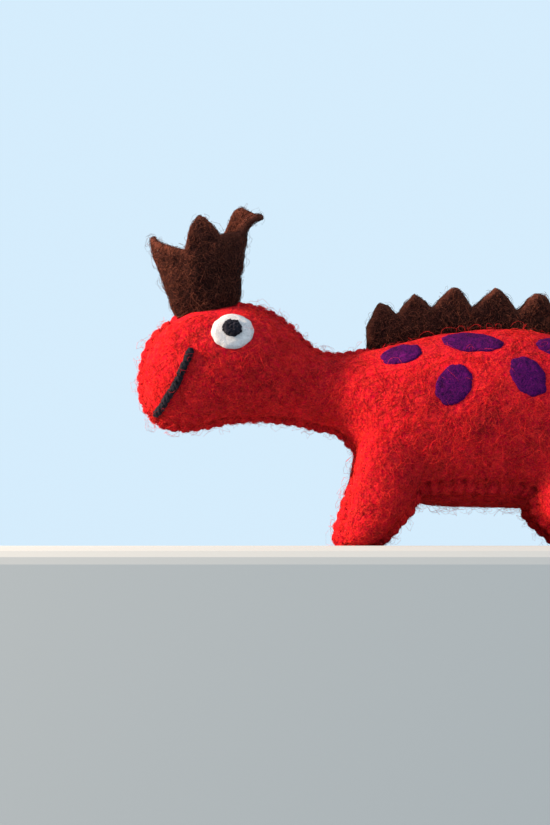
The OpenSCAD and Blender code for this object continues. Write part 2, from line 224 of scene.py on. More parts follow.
def felt(name, dark, mid, light, strand, sheen, scale=1.0, bump=0.8, rough=0.95):
    """Wool felt: matted strands over three tones of the wool, soft lumps and a little fuzz, with a painted
    highlight on marked cut edges and painted shade on marked pits and feet.
    """
    made = bpy.data.materials.new("look_" + name)
    made.use_nodes = True
    nodes, links = made.node_tree.nodes, made.node_tree.links
    nodes.clear()
    out = nodes.new("ShaderNodeOutputMaterial")
    shader = nodes.new("ShaderNodeBsdfPrincipled")
    for field, value in (("Roughness", rough), ("Specular IOR Level", 0.06), ("Sheen Weight", sheen),
                         ("Sheen Roughness", 0.5), ("Sheen Tint", (*strand, 1))):
        shader.inputs[field].default_value = value
    links.new(shader.outputs[0], out.inputs[0])
    place = nodes.new("ShaderNodeTexCoord")

    def pattern(size, detail, distortion, offset=0.0):
        shifted = nodes.new("ShaderNodeVectorMath")
        shifted.operation = "ADD"
        shifted.inputs[1].default_value = (offset, offset * 0.7, -offset)
        links.new(place.outputs["Object"], shifted.inputs[0])
        node = nodes.new("ShaderNodeTexNoise")
        for field, value in (("Scale", size), ("Detail", detail), ("Distortion", distortion)):
            node.inputs[field].default_value = value
        links.new(shifted.outputs[0], node.inputs["Vector"])
        return node.outputs["Fac"]

    def maths(kind, a, b):
        node = nodes.new("ShaderNodeMath")
        node.operation = kind
        for socket, value in zip(node.inputs, (a, b)):
            if isinstance(value, (int, float)):
                socket.default_value = value
            else:
                links.new(value, socket)
        return node.outputs[0]

    def strands(size, offset, width):
        """Thin curling lines, where a noise crosses its middle value."""
        away = maths("ABSOLUTE", maths("SUBTRACT", pattern(size, 2.0, 1.3, offset), 0.5), 0)
        return maths("MAXIMUM", maths("SUBTRACT", 1.0, maths("MULTIPLY", away, width)), 0.0)

    matted = maths("MAXIMUM", strands(430 * scale, 0.31, 26), strands(620 * scale, 1.7, 22))
    matted = maths("MAXIMUM", matted, maths("MULTIPLY", strands(950 * scale, 2.9, 16), 0.8))
    grain = pattern(2100 * scale, 4, 1.0, 4.1)
    clumps = pattern(300 * scale, 4, 1.2, 5.3)
    patches = pattern(75 * scale, 3, 0.4, 6.7)

    def mix(a, b, factor):
        node = nodes.new("ShaderNodeMix")
        node.inputs[0].default_value = factor
        links.new(a, node.inputs[2])
        links.new(b, node.inputs[3])
        return node.outputs[0]

    tone = mix(mix(grain, clumps, 0.5), patches, 0.25)
    ramp = nodes.new("ShaderNodeValToRGB")
    ramp.color_ramp.elements[0].position = 0.36
    ramp.color_ramp.elements[0].color = (*dark, 1)
    ramp.color_ramp.elements[1].position = 0.62
    ramp.color_ramp.elements[1].color = (*light, 1)
    ramp.color_ramp.elements.new(0.49).color = (*mid, 1)
    links.new(tone, ramp.inputs[0])

    def tint(under, colour, factor):
        """A colour laid over another, as strongly as the factor says."""
        node = nodes.new("ShaderNodeMix")
        node.data_type = "RGBA"
        node.inputs[7].default_value = (*colour, 1)
        links.new(factor, node.inputs[0])
        links.new(under, node.inputs[6])
        return node.outputs[2]

    def marked(name):
        node = nodes.new("ShaderNodeAttribute")
        node.attribute_name = name
        return node.outputs["Fac"]

    def bumps(height, strength, distance, normal=None):
        node = nodes.new("ShaderNodeBump")
        node.inputs["Strength"].default_value = strength
        node.inputs["Distance"].default_value = distance
        links.new(height, node.inputs["Height"])
        if normal:
            links.new(normal, node.inputs["Normal"])
        return node.outputs[0]

    colour = tint(ramp.outputs[0], strand, maths("MULTIPLY", matted, 0.5))
    # Painted highlight: the strand colour laid over the marked cut edges stands in for low light grazing the
    # edge fibres.
    highlight_strength = maths("ADD", maths("MULTIPLY", matted, 0.4), 0.45)
    colour = tint(colour, strand, maths("MULTIPLY", marked("worn"), highlight_strength))
    # Painted shade: a dark tone laid over the stitch pits and towards the feet of the crown and crest.
    colour = tint(colour, [c * 0.35 for c in dark], marked("pit_and_painted_shade"))
    links.new(colour, shader.inputs["Base Color"])
    broad = bumps(clumps, 0.5, 1.0 * MM)
    links.new(bumps(mix(matted, grain, 0.4), bump, 0.4 * MM, broad), shader.inputs["Normal"])
    return made


# Each felt: the wool's dark, middle and light tones, its strands, and its sheen
RED = felt("red_felt", (0.1, 0.0, 0.006), (0.36, 0.0, 0.015), (0.64, 0.004, 0.017), (0.94, 0.045, 0.022), 0.0)
RED_THREAD = felt("red_thread", (0.14, 0.0, 0.006), (0.3, 0.0, 0.008), (0.48, 0.004, 0.008),
                  (0.7, 0.02, 0.02), 0.02)
RED_FIBRE = felt("red_fibre", (0.38, 0.0, 0.012), (0.7, 0.003, 0.015), (0.9, 0.02, 0.02),
                 (1.0, 0.1, 0.05), 0.02)
BROWN = felt("brown_felt", (0.002, 0.0004, 0.0006), (0.007, 0.0014, 0.0016), (0.022, 0.0048, 0.0045),
             (0.13, 0.036, 0.022), 0.02)
BROWN_FIBRE = felt("brown_fibre", (0.007, 0.0014, 0.002), (0.024, 0.005, 0.005), (0.09, 0.024, 0.017),
                   (0.38, 0.12, 0.07), 0.03)
PURPLE = felt("purple_felt", (0.005, 0.0002, 0.012), (0.02, 0.0008, 0.042), (0.042, 0.001, 0.056),
              (0.17, 0.004, 0.13), 0.0)
PURPLE_FIBRE = felt("purple_fibre", (0.03, 0.001, 0.06), (0.1, 0.003, 0.14), (0.22, 0.006, 0.16),
                    (0.34, 0.01, 0.17), 0.04)
WHITE = felt("white_felt", (0.36, 0.34, 0.36), (0.52, 0.5, 0.51), (0.66, 0.64, 0.64), (0.8, 0.77, 0.75), 0.05)
BLACK = felt("black_thread", (0.0015, 0.0015, 0.003), (0.004, 0.004, 0.008), (0.014, 0.013, 0.02),
             (0.05, 0.045, 0.06), 0.08, rough=0.7)
LINING = felt("lining_cotton", (0.12, 0.001, 0.005), (0.2, 0.004, 0.012), (0.3, 0.01, 0.02),
              (0.4, 0.02, 0.03), 0.05, scale=2.0, bump=0.3)

# ---------------- which region a place belongs to
# The line between head and body is tilted, so that the chest above the front legs stays with the body.
NECK_START, NECK_END = np.array([82.0, 46.0]), np.array([69.0, 52.0])     # behind the snout, height
LEG_START, LEG_END = 13.5, 5.0
TAIL_CUT = 160.0
LEGS = ["front_left_leg", "front_right_leg", "hind_left_leg", "hind_right_leg"]


def regions(points):
    """The region of each point: head, body, tail, or a leg."""
    s, y, z = (points[:, 0] + LENGTH / 2) / MM, points[:, 1], points[:, 2] / MM
    axis = NECK_END - NECK_START
    share = ((s - NECK_START[0]) * axis[0] + (z - NECK_START[1]) * axis[1]) / (axis @ axis)
    region = np.where((share > 1.06) & (z > 30), "head", "body").astype(object)
    region[((s > TAIL_CUT) & (z > 47.5)) | (s > TAIL_CUT + 3.5)] = "tail"
    low = z < LEG_START
    for leg in LEGS:
        region[low & ((s < 110) == ("front" in leg)) & ((y < 0) == ("left" in leg))] = leg
    return region


def follow(piece, region):
    """Bakes the piece's placement into its mesh, the same for every region."""
    if region == "head":
        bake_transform(piece)
    elif region == "body":
        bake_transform(piece)
    elif region == "tail":
        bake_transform(piece)
    else:
        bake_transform(piece)
    return piece


def ride(piece, body):
    """Fixes a piece to one body."""
    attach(piece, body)


def split_by_region(name, elements, used):
    """One piece for each region, out of (vertices, faces) of small closed shapes, with its placement baked in.
    """
    middles = np.array([np.mean(v, axis=0) for v, _ in elements])
    found = regions(middles)
    made = {}
    for region in dict.fromkeys(found):
        chosen = [elements[i] for i in np.where(found == region)[0]]
        made[region] = follow(new_object(f"{name}_{region}", *join(chosen), used), region)
    return made


# ---------------- the red felt skin
# Sections of the body without its seam ridges: behind the snout, middle height, half height, half width
BODY = [
    (1.9, 55.5, 1.2, 1.0), (2.4, 55.8, 5.5, 3.4), (4.0, 56.6, 10.4, 7.2), (7.0, 57.3, 14.4, 10.4),
    (11.5, 58.0, 17.5, 13.2), (18, 59.9, 19.7, 15.6), (26, 61.4, 19.8, 16.6), (35, 62.3, 19.1, 16.4),
    (43, 61.4, 18.0, 15.2), (49, 59.2, 16.6, 13.9), (55, 56.2, 14.2, 12.6), (61, 52.9, 12.7, 11.9),
    (67, 51.6, 12.4, 12.3), (72, 49.6, 15.0, 14.6), (78, 46.9, 19.2, 17.8), (86, 43.9, 24.0, 20.8),
    (96, 42.6, 27.8, 22.6), (110, 43.4, 29.2, 23.4), (124, 43.6, 29.8, 23.4), (138, 42.8, 29.0, 22.8),
    (149, 42.6, 26.6, 21.4), (155, 42.6, 24.4, 19.6), (158.5, 44.4, 21.2, 17.0), (161, 48.0, 16.4, 13.6),
    (163.5, 52.0, 12.2, 11.2), (168, 55.4, 9.6, 9.4), (178, 55.2, 8.6, 8.4), (190, 52.6, 7.7, 7.4),
    (203, 50.4, 6.4, 6.2), (216, 49.0, 5.2, 5.0), (226, 48.8, 4.1, 3.9), (231.5, 49.2, 2.7, 2.6),
    (233.6, 49.4, 1.0, 1.0),
]
# Sections of a front leg: height, middle behind the snout, half length, half width
FRONT_LEG = [
    (0.35, 74.8, 4.4, 4.2), (0.9, 74.8, 6.0, 5.9), (2.4, 74.9, 7.2, 7.7), (5, 76.1, 8.6, 8.6),
    (9, 78.4, 9.9, 9.2), (13, 80.8, 11.0, 9.6), (19, 82.8, 11.2, 9.4), (26, 83.6, 11.0, 8.8),
    (33, 83.4, 9.6, 7), (38, 84, 6, 4),
]
HIND_LEG = [
    (0.35, 150.4, 4.6, 4.2), (0.9, 150.3, 6.2, 5.9), (2.4, 149.8, 8.0, 7.8), (5, 148.6, 10.0, 8.7),
    (9, 146.6, 12.8, 9.2), (13, 145.2, 14.0, 9.6), (19, 144.6, 13.2, 9.4), (26, 144.5, 11, 8.4),
    (33, 144.5, 6, 5),
]
LEG_Y = 13.4
PUFF = 0.94     # how square a section is: 1 is an ellipse, less is fuller
VOXEL = 1.0 * MM


def power(values, exponent):
    return np.sign(values) * np.abs(values) ** exponent


def body_rings():
    turn = full_turn(64)
    rings = []
    for s, z, half_height, half_width in smooth_rows(BODY, 5):
        y = half_width * power(np.cos(turn), PUFF) * MM
        height = (z + half_height * power(np.sin(turn), PUFF)) * MM
        rings.append(np.stack([np.full_like(turn, at(s)), y, height], 1))
    return np.array(rings)


def leg_rings(sections, side):
    turn = full_turn(40) * side
    rings = []
    for z, s, half_length, half_width in smooth_rows(sections, 4):
        x = at(s) + half_length * MM * np.cos(turn)
        y = (side * LEG_Y + half_width * np.sin(turn)) * MM
        rings.append(np.stack([x, y, np.full_like(turn, z * MM)], 1))
    return np.array(rings)[:, ::-1]


def neighbours_mean(points, edges, counts):
    total = np.zeros_like(points)
    np.add.at(total, edges[:, 0], points[edges[:, 1]])
    np.add.at(total, edges[:, 1], points[edges[:, 0]])
    return total / counts[:, None]


def make_skin():
    """One closed skin for the whole puppet: lofts joined by a voxel remesh and smoothed together."""
    legs = [leg_rings(sections, side) for sections in (FRONT_LEG, HIND_LEG) for side in (-1, 1)]
    rough = new_object("rough_skin", *join([loft(rings) for rings in [body_rings()] + legs]), None)
    shape = remeshed(rough, VOXEL)
    points = points_of(shape)
    edges = np.empty(len(shape.edges) * 2, int)
    shape.edges.foreach_get("vertices", edges)
    edges = edges.reshape(-1, 2)
    counts = np.bincount(edges.ravel(), minlength=len(points)).astype(float)
    for _ in range(9):
        points += 0.55 * (neighbours_mean(points, edges, counts) - points)
    faces = [list(face.vertices) for face in shape.polygons]
    bpy.data.objects.remove(rough)
    bpy.data.meshes.remove(shape)
    return points, faces


skin_points, skin_faces = make_skin()


def vertex_normals(points, faces):
    corners = corners_of(faces)
    a, b, c, d = (points[corners[:, k]] for k in range(4))
    normals = np.zeros_like(points)
    for k in range(4):
        np.add.at(normals, corners[:, k], np.cross(c - a, d - b))
    return unit(normals)


skin_normals = vertex_normals(skin_points, skin_faces)
skin_tree = search_tree(skin_points, skin_faces)


def on_skin(point):
    """The nearest point of the skin and the direction it faces there."""
    place, normal, _, _ = skin_tree.find_nearest(Vector(point))
    return np.array(place), np.array(normal)


# ---------------- seams
STITCH = 3.8 * MM       # from one stitch to the next
RIDGE_H = 1.75 * MM     # the ridge's height
RIDGE_W = 1.8 * MM      # half the ridge's width

TOP = [(80, 0, 69), (72, 0, 65), (66, 0, 64), (60, 0, 66), (54, 0, 71), (47, 0, 77), (38, 0, 80.5),
       (28, 0, 80.5), (18, 0, 79), (10, 0, 74), (4.5, 0, 68), (2, 0, 58), (3.5, 0, 48), (9, 0, 41.5),
       (14, 0, 40), (22, 0, 41.3), (34, 0, 43.3), (46, 0, 43), (56, 0, 42), (64, 0, 40), (69, 0, 36.5),
       (72, 0, 31.5), (74, 0, 27)]
LEG_SEAM = [(74, 0, 26.5), (73, 5, 25), (71.5, 10, 21), (69.5, 13, 15), (67, 13.4, 8), (66, 13.4, 4),
            (68, 13.4, 1), (76, 13.4, 0.3), (84, 13.4, 1.2), (88, 13.4, 6), (92, 13.4, 12), (96, 13.2, 16.5),
            (102, 13.2, 19), (114, 13.3, 19.2), (126, 13.3, 18.2), (132, 13.3, 14), (137, 13.4, 7),
            (141, 13.4, 1.5), (150, 13.4, 0.3), (158.5, 13.4, 1.6), (160.3, 13.4, 6), (159, 13.4, 12),
            (158, 13.6, 18), (158, 14, 24)]
TAIL_SEAM = [(163, 0, 42), (170, 0, 46), (180, 0, 46), (192, 0, 44.5), (205, 0, 44), (218, 0, 44),
             (228, 0, 45), (233.6, 0, 49.4)]
SEAMS = [TOP, LEG_SEAM, [(s, -y, z) for s, y, z in LEG_SEAM], TAIL_SEAM]


class Seam:
    """A line of whip stitches on the skin: its points, the ways out and along, and the stitch count."""

    def __init__(self, points, seed):
        path = even_path([spot_at(*p) for p in points], 0.35 * MM)
        found = [on_skin(p) for p in path]
        self.places = np.array([f[0] for f in found])
        self.outward = np.array([f[1] for f in found])
        for _ in range(6):
            for line in (self.places, self.outward):
                line[1:-1] = 0.5 * line[1:-1] + 0.25 * (line[:-2] + line[2:])
        self.outward = unit(self.outward)
        self.along = unit(np.gradient(self.places, axis=0))
        self.across = unit(np.cross(self.along, self.outward))
        distance = distances(self.places)
        self.phase = distance / STITCH + 0.13 * np.sin(distance / (STITCH * 2.3) + seed)
        self.seed = seed

    def threads(self):
        """The whip stitches: loops that cross the ridge in its notches and go into the felt on both sides."""
        out = []
        arc = np.linspace(-0.2 * math.pi, 1.2 * math.pi, 12)
        for k in range(1, int(self.phase[-1])):
            i = int(np.searchsorted(self.phase, k))
            if i >= len(self.places) - 2:
                break
            lean = (0.7 + 0.5 * math.sin(k * 2.1 + self.seed)) * MM
            middle = self.places[i] + self.outward[i] * 0.1 * RIDGE_H
            loop = (middle + np.outer(np.cos(arc) * RIDGE_W * 1.25, self.across[i])
                    + np.outer(np.sin(arc) * RIDGE_H * 0.5, self.outward[i])
                    + np.outer(np.linspace(-1, 1, 12) * lean, self.along[i]))
            loop = [on_skin(p) for p in loop]
            sunk = np.array([-0.4] + [0.08] * 10 + [-0.4]) * MM
            loop = np.array([place + normal * depth for (place, normal), depth in zip(loop, sunk)])
            loop[:, 2] = np.maximum(loop[:, 2], 0.35 * MM)
            out.append(tubes([loop], [np.full(12, 0.3 * MM)], 6))
        return out


seams = [Seam(line, seed) for seed, line in enumerate(SEAMS)]

# ---------------- camera, light and floor
EYE_POINT = Vector((-71.3 * MM, -649 * MM, -17 * MM))      # the camera, which also places the patches


def make_camera():
    data = bpy.data.cameras.new("camera")
    camera = bpy.data.objects.new("camera", data)
    bpy.context.scene.collection.objects.link(camera)
    data.sensor_fit = "VERTICAL"
    data.sensor_height = 36
    data.lens = 85
    camera.location = EYE_POINT
    camera.rotation_euler = (math.radians(90 + 5.5), 0, 0)
    data.clip_start = 0.02
    bpy.context.scene.camera = camera


def area_light(name, place, towards, size, energy, colour):
    data = bpy.data.lights.new(name, "AREA")
    data.shape = "DISK"
    data.size = size
    data.energy = energy
    data.color = colour
    lamp = bpy.data.objects.new(name, data)
    lamp.location = place
    lamp.rotation_euler = (Vector(towards) - Vector(place)).to_track_quat("-Z", "Y").to_euler()
    bpy.context.scene.collection.objects.link(lamp)


def make_lights():
    middle = (0, 0, 0.05)
    area_light("key", (-1.25, -0.16, 0.46), middle, 0.22, 62, (1.0, 0.77, 0.56))
    area_light("fill", (-0.2, -0.7, 1.5), middle, 1.2, 9, (0.86, 0.92, 1.0))
    world = bpy.data.worlds.new("studio")
    world.use_nodes = True
    sky = world.node_tree.nodes["Background"].inputs
    sky["Color"].default_value = (0.68, 0.86, 1.0, 1)
    sky["Strength"].default_value = 0.98
    bpy.context.scene.world = world


def make_floor():
    """A pale plinth: the camera looks up at the puppet from just below the surface that it stands on."""
    front, back, side, deep = -0.042, 1.2, 1.6, 0.9
    outline = ((-side, front), (side, front), (side, back), (-side, back))
    corners = [(x, y, z) for z in (-deep, 0) for x, y in outline]
    faces = [(0, 3, 2, 1), (4, 5, 6, 7), (0, 1, 5, 4), (1, 2, 6, 5), (2, 3, 7, 6), (3, 0, 4, 7)]
    paper = bpy.data.materials.new("paper")
    paper.use_nodes = True
    surface = paper.node_tree.nodes["Principled BSDF"].inputs
    surface["Base Color"].default_value = (0.38, 0.38, 0.37, 1)
    surface["Roughness"].default_value = 0.9
    floor = new_object("floor", corners, faces, paper, smooth=False)
    edge = floor.modifiers.new("edge", "BEVEL")
    edge.width = 6 * MM
    edge.segments = 4


make_camera()
make_lights()
make_floor()
bpy.context.scene.view_settings.view_transform = "Standard"

# ---------------- skin pieces
PUFF_MOST = 0.8 * MM        # how far the stuffing may move the skin
TRIAL_VOXEL = 2.4 * MM
CLOTH_FRAMES = 20


def stuffed(points, faces):
    """How the skin puffs out between its seams: a cloth simulation under pressure, held at the seams."""
    coarse = new_object("stuffing_trial", points, faces, None)
    shape = remeshed(coarse, TRIAL_VOXEL)
    coarse.modifiers.clear()
    coarse.data = shape
    rest = points_of(shape)
    held = coarse.vertex_groups.new(name="held")
    for i, p in enumerate(rest):
        gap = seam_points.find(p)[2]
        held.add([i], float(np.clip(1.25 - gap / (5 * MM), 0, 1)), "REPLACE")
    cloth = coarse.modifiers.new("cloth", "CLOTH")
    settings = cloth.settings
    settings.quality = 6
    settings.mass = 0.15
    settings.tension_stiffness = settings.compression_stiffness = 40
    settings.shear_stiffness = 20
    settings.bending_stiffness = 2
    settings.use_pressure = True
    settings.uniform_pressure_force = 4
    settings.vertex_group_mass = "held"
    settings.effector_weights.gravity = 0
    cloth.point_cache.frame_start, cloth.point_cache.frame_end = 1, CLOTH_FRAMES
    scene = bpy.context.scene
    for number in range(1, CLOTH_FRAMES + 1):
        scene.frame_set(number)
        bpy.context.evaluated_depsgraph_get()
    moved = points_of(evaluated(coarse).to_mesh()) - rest
    scene.frame_set(1)
    moved *= np.minimum(1, PUFF_MOST / np.maximum(np.linalg.norm(moved, axis=1, keepdims=True), 1e-9))
    tree = tree_of(rest)
    out = np.zeros_like(points)
    for i, p in enumerate(points):
        near = tree.find_n(p, 4)
        share = np.array([1 / (d + 0.3 * MM) for _, _, d in near])
        out[i] = (moved[[k for _, k, _ in near]] * share[:, None]).sum(axis=0) / share.sum()
    bpy.data.objects.remove(coarse)
    return out


all_seam = np.vstack([seam.places for seam in seams])
all_phase = np.concatenate([seam.phase for seam in seams])
seam_points = tree_of(all_seam)
skin_points = skin_points + stuffed(skin_points, skin_faces)

seam_gap = np.empty(len(skin_points))
seam_phase = np.empty(len(skin_points))
for i, p in enumerate(skin_points):
    _, k, seam_gap[i] = seam_points.find(p)
    seam_phase[i] = all_phase[k]
to_stitch = np.abs(seam_phase - np.round(seam_phase)) * STITCH
notch = np.exp(-(to_stitch / (0.85 * MM)) ** 2)
ridge = np.exp(-(seam_gap / RIDGE_W) ** 2) * (1 - 0.5 * notch)
# Stitch pits: dents in the skin, which the material also darkens as painted shade.
pit_and_painted_shade = np.exp(-((seam_gap - 3.1 * MM) / (1.0 * MM)) ** 2) * np.exp(-(to_stitch / (0.9 * MM)) ** 2)
pit_and_painted_shade *= np.clip(0.72 + rumple(skin_points, 110, 1.1, 5.0), 0.12, 1)
valley = np.exp(-((seam_gap - 2.9 * MM) / (1.3 * MM)) ** 2)
lumps = rumple(skin_points, 90, 0.45 * MM, 3.0) + rumple(skin_points, 300, 0.2 * MM, 9.0)
lift = lumps + RIDGE_H * ridge - 0.35 * MM * valley - 0.95 * MM * pit_and_painted_shade
skin_points = skin_points + skin_normals * lift[:, None]
skin_points[:, 2] = np.maximum(skin_points[:, 2], 0.2 * MM)

# The tail's root arches over the top of the pocket's mouth
pocket_low, pocket_high = (np.array(c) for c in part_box("hand_pocket"))
pocket_z = (pocket_low[2] + pocket_high[2]) / 2
pocket_r = (pocket_high[2] - pocket_low[2]) / 2
pocket_side = (pocket_high[1] - pocket_low[1]) / 2 - pocket_r
ROOT_FROM, ROOT_FLAT, ROOT_TO = at(166), at(172), at(186)
sideways = np.maximum(np.abs(skin_points[:, 1]) - pocket_side, 0)
arch = pocket_z + np.sqrt(np.maximum(pocket_r ** 2 - sideways ** 2, 0)) + 0.05 * MM
arched = (skin_points[:, 0] > ROOT_FROM) & (sideways < pocket_r) & (skin_points[:, 2] < arch)
ease = np.clip((ROOT_TO - skin_points[:, 0]) / (ROOT_TO - ROOT_FLAT), 0, 1)
ease = ease ** 2 * (3 - 2 * ease)
skin_points[arched, 2] += ((arch - skin_points[:, 2]) * ease)[arched]
skin_normals = vertex_normals(skin_points, skin_faces)
skin_tree = search_tree(skin_points, skin_faces)

# The pocket's mouth: the skin is open inside the hem
face_middles = np.array([skin_points[f].mean(axis=0) for f in skin_faces])
sideways = np.maximum(np.abs(face_middles[:, 1]) - pocket_side, 0)
in_mouth = np.hypot(sideways, face_middles[:, 2] - pocket_z) < pocket_r
in_mouth &= (face_middles[:, 0] > at(150)) & (face_middles[:, 0] < at(171))

REPLACED = {
    "head": ["head_left_panel", "head_right_panel", "head_stuffing", "neck_left_panel", "neck_right_panel",
             "neck_stuffing"],
    "body": ["torso_left_panel", "torso_right_panel", "torso_stuffing", "belly_gusset"],
    "tail": ["tail_left_panel", "tail_right_panel", "tail_stuffing"],
}
for leg in LEGS:
    REPLACED[leg] = [f"{leg}_outer_panel", f"{leg}_inner_panel", f"{leg}_stuffing"]

face_regions = regions(face_middles)
for region in REPLACED:
    chosen = np.where((face_regions == region) & ~in_mouth)[0]
    used = sorted({v for f in chosen for v in skin_faces[f]})
    index = {v: i for i, v in enumerate(used)}
    faces = [[index[v] for v in skin_faces[f]] for f in chosen]
    skin = new_object(f"{region}_skin", skin_points[used], faces, RED)
    skin.data.normals_split_custom_set_from_vertices([tuple(n) for n in skin_normals[used]])
    # The pits' painted shade, for the material to read.
    mark(skin, "pit_and_painted_shade", pit_and_painted_shade[used])
    follow(skin, region)
    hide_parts(*REPLACED[region])

threads_made = split_by_region("seam_thread", [t for seam in seams for t in seam.threads()], RED_THREAD)
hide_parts("head_seam", "neck_seams")
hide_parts("belly_seams")
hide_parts("tail_seam")

# ---------------- patches and threads on the skin

def seen(s, z, side=-1):
    """The skin point that the camera sees at a place given on the middle plane, or its mirror image."""
    target = Vector((at(s), 0, z * MM))
    place, normal, _, _ = skin_tree.ray_cast(EYE_POINT, (target - EYE_POINT).normalized())
    if place is None:
        place, normal, _, _ = skin_tree.find_nearest(target)
    place, normal = np.array(place), np.array(normal)
    if side > 0:
        place, normal = on_skin(place * [1, -1, 1])
    return place, normal


def patch(name, centre, half, tilt, thick, used, side, ragged=0.05, seed=0.0):
    """A cut patch of felt that lies on the skin: an oval given as it is seen from the side."""
    rings, around = 9, 64
    turn = full_turn(around)
    flat = [(math.cos(t), math.sin(t)) for t in turn]
    edge = 1 + ragged * np.array([noise.noise(Vector((x * 2.2 + seed, y * 2.2, seed))) for x, y in flat])
    edge += 0.35 * ragged * np.array([noise.noise(Vector((x * 9, y * 9 + seed, 3))) for x, y in flat])
    upper, lower = [], []
    for k in range(1, rings + 1):
        share = k / rings
        for j, t in enumerate(turn):
            u, v = half[0] * share * edge[j] * math.cos(t), half[1] * share * edge[j] * math.sin(t)
            place, normal = seen(centre[0] + u * math.cos(tilt) - v * math.sin(tilt),
                                 centre[1] + u * math.sin(tilt) + v * math.cos(tilt), side)
            lump = 1 + 0.1 * noise.noise(Vector(place) * 400)
            upper.append(place + normal * (thick * (1 - max(0, share - 0.72) ** 2 * 9) * lump))
            lower.append(place - normal * 0.5 * MM)
    middle, normal = seen(*centre, side)
    vertices = [middle + normal * thick] + upper + [middle - normal * 0.5 * MM] + lower
    count = rings * around
    faces = []
    for first in (1, count + 2):
        ring_faces = [list(f) for f in grid_faces(rings, around, first)]
        fan = [[first - 1, first + j, first + (j + 1) % around] for j in range(around)]
        faces += ring_faces + fan if first == 1 else [f[::-1] for f in ring_faces + fan]
    outer = 1 + count - around
    under = outer + count + 1
    for j in range(around):
        after = (j + 1) % around
        faces.append([outer + j, under + j, under + after, outer + after])
    faces = [f[::-1] for f in faces] if side < 0 else faces
    return new_object(name, vertices, faces, used)


def twist(path, outward, radius, turns, ply=2):
    """A twisted thread along a path: ply strands wound round one another."""
    t = np.linspace(0, 1, len(path))
    across = unit(np.cross(unit(np.gradient(path, axis=0)), outward))
    swell = radius * (1 - 0.75 * np.abs(2 * t - 1) ** 6)
    out = []
    for k in range(ply):
        angle = 2 * math.pi * (turns * t + k / ply)
        centre = (path + across * (np.cos(angle) * swell * 0.5)[:, None]
                  + outward * (np.sin(angle) * swell * 0.5)[:, None])
        out.append(tubes([centre], [swell * 0.62], 8))
    return out


# Spots as they are seen from the side: middle behind the snout and height, half sizes, tilt
SPOTS = [((89.1, 65.0), (7.1, 3.0), 0.2), ((113.0, 69.1), (10.3, 3.1), -0.07),
         ((106.6, 54.8), (7.2, 5.7), 1.0), ((131.7, 57.6), (7.5, 5.2), -0.9),
         ((141.0, 67.5), (6.6, 2.7), -0.2), ((146.0, 49.0), (5.8, 5.0), 0.5)]
EYE = ((32.4, 72.7), (7.1, 5.8))
PUPIL = (32.3, 73.4)
MOUTH = [(18.6, 67.2), (17.4, 63.6), (15.8, 59.6), (13.4, 54.8), (11.2, 50.8), (8.6, 47.0), (6.6, 44.6)]
spots, eyes = [], []
for side, name in ((-1, "left"), (1, "right")):
    for i, (centre, half, tilt) in enumerate(SPOTS):
        spot = patch(f"{name}_spot_{i + 1}_felt", centre, half, tilt, 0.55 * MM, PURPLE, side, 0.12, i + side)
        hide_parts(f"{name}_spot_{i + 1}")
        follow(spot, "body")
        spots.append(spot)
    eye = patch(f"{name}_eye_felt", *EYE, 0.0, 1.1 * MM, WHITE, side, 0.07, 4.0 + side)
    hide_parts(f"{name}_eye")
    ride(eye, "head")
    eyes.append(eye)

    # The pupil: a knot of black thread, wound over and over
    middle, normal = seen(*PUPIL, side)
    flat_x = unit(np.cross(normal, [0, 0, 1.0]))
    flat_z = np.cross(normal, flat_x)
    strands = []
    for k in range(13):
        turn = k * 2.3 + 0.4
        reach = (3.5 - 0.05 * k) * MM
        t = np.linspace(-1, 1, 15)
        way = math.cos(turn) * flat_x + math.sin(turn) * flat_z
        aside = -math.sin(turn) * flat_x + math.cos(turn) * flat_z
        shift = (random.random() - 0.5) * 4.4 * MM
        span = np.sqrt(max(1 - (shift / reach) ** 2, 0.1))
        path = (middle + np.outer(t * reach * span, way) + aside * shift
                + np.outer((0.8 + 0.05 * k + 1.0 * (1 - t ** 4)) * MM, normal))
        strands += twist(path, np.broadcast_to(normal, path.shape), 0.72 * MM, 2.0)
    base = patch(f"{name}_pupil_base", PUPIL, (3.3, 2.9), 0.0, 1.9 * MM, BLACK, side, 0.12, 2.0)
    ride(base, "head")
    pupil = new_object(f"{name}_pupil_knot", *join(strands), BLACK)
    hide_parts(f"{name}_pupil")
    ride(pupil, "head")

    # The mouth: overlapping back stitches of twisted black thread
    line = even_path([(s, z, 0) for s, z in MOUTH], 0.25)[:, :2]
    found = [seen(s, z, side) for s, z in line]
    places, normals = np.array([f[0] for f in found]), np.array([f[1] for f in found])
    places += normals * 0.45 * MM
    stitches = []
    count = 5
    for k in range(count):
        low = max(0, int((k - 0.12) / count * len(places)))
        high = min(len(places), int((k + 1.14) / count * len(places)))
        t = np.linspace(-1, 1, high - low)
        bowed = places[low:high] + normals[low:high] * ((1 - t ** 2) * 0.5 * MM - 0.25 * MM)[:, None]
        bowed += np.array([0.12, 0, -0.1]) * MM * (-1) ** k
        stitches += twist(bowed, normals[low:high], 1.25 * MM, 1.3, 3)
    mouth = new_object(f"{name}_mouth_stitches", *join(stitches), BLACK)
    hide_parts(f"{name}_mouth_thread")
    ride(mouth, "head")

# ---------------- the crown
CROWN_FOOT = (23.8, 81.2)
FELT = 2.9 * MM
# The felt's edge round the crown: angle from the rear, height above the foot
CROWN_EDGE = [(-25, 22), (-12, 25.5), (0, 30), (10, 32.6), (24, 33), (38, 35), (56, 25), (72, 21),
              (90, 27.5), (109, 19), (180, 25.5), (251, 18.6), (268, 32), (300, 21.5), (335, 22)]
CURL_FROM, CURL_R = 21.5, 6.6   # where the rear point starts to curl over, and the curl's radius


